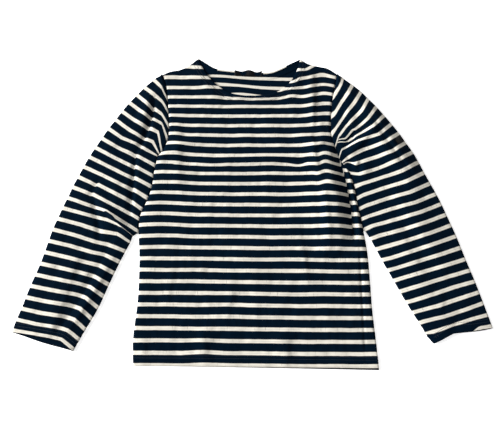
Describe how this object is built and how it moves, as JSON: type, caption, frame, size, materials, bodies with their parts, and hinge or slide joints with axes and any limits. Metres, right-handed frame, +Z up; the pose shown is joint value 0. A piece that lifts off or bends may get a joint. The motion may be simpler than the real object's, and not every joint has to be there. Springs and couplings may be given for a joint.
{
  "type": "breton shirt",
  "caption": "Long-sleeved striped jersey shirt with a wide boat neck, laid flat with its front up.",
  "frame": {"origin": "centre of the shirt's outline, on the surface that it lies on", "axes": "+Z up from the surface, +Y towards the neck, +X towards the wearer's left sleeve, which is at the right seen from above"},
  "size_m": [0.954, 0.676, 0.0138],
  "materials": {
    "jersey": "navy cotton jersey with narrow ecru stripes, soft and matt",
    "label": "dark woven satin label, bare"
  },
  "bodies": {
    "root": {"back": "jersey", "front": "jersey", "sleeve_right": "jersey", "sleeve_left": "jersey", "neck_label": "label", "sleeve_label": "label"}
  },
  "joints": []
}
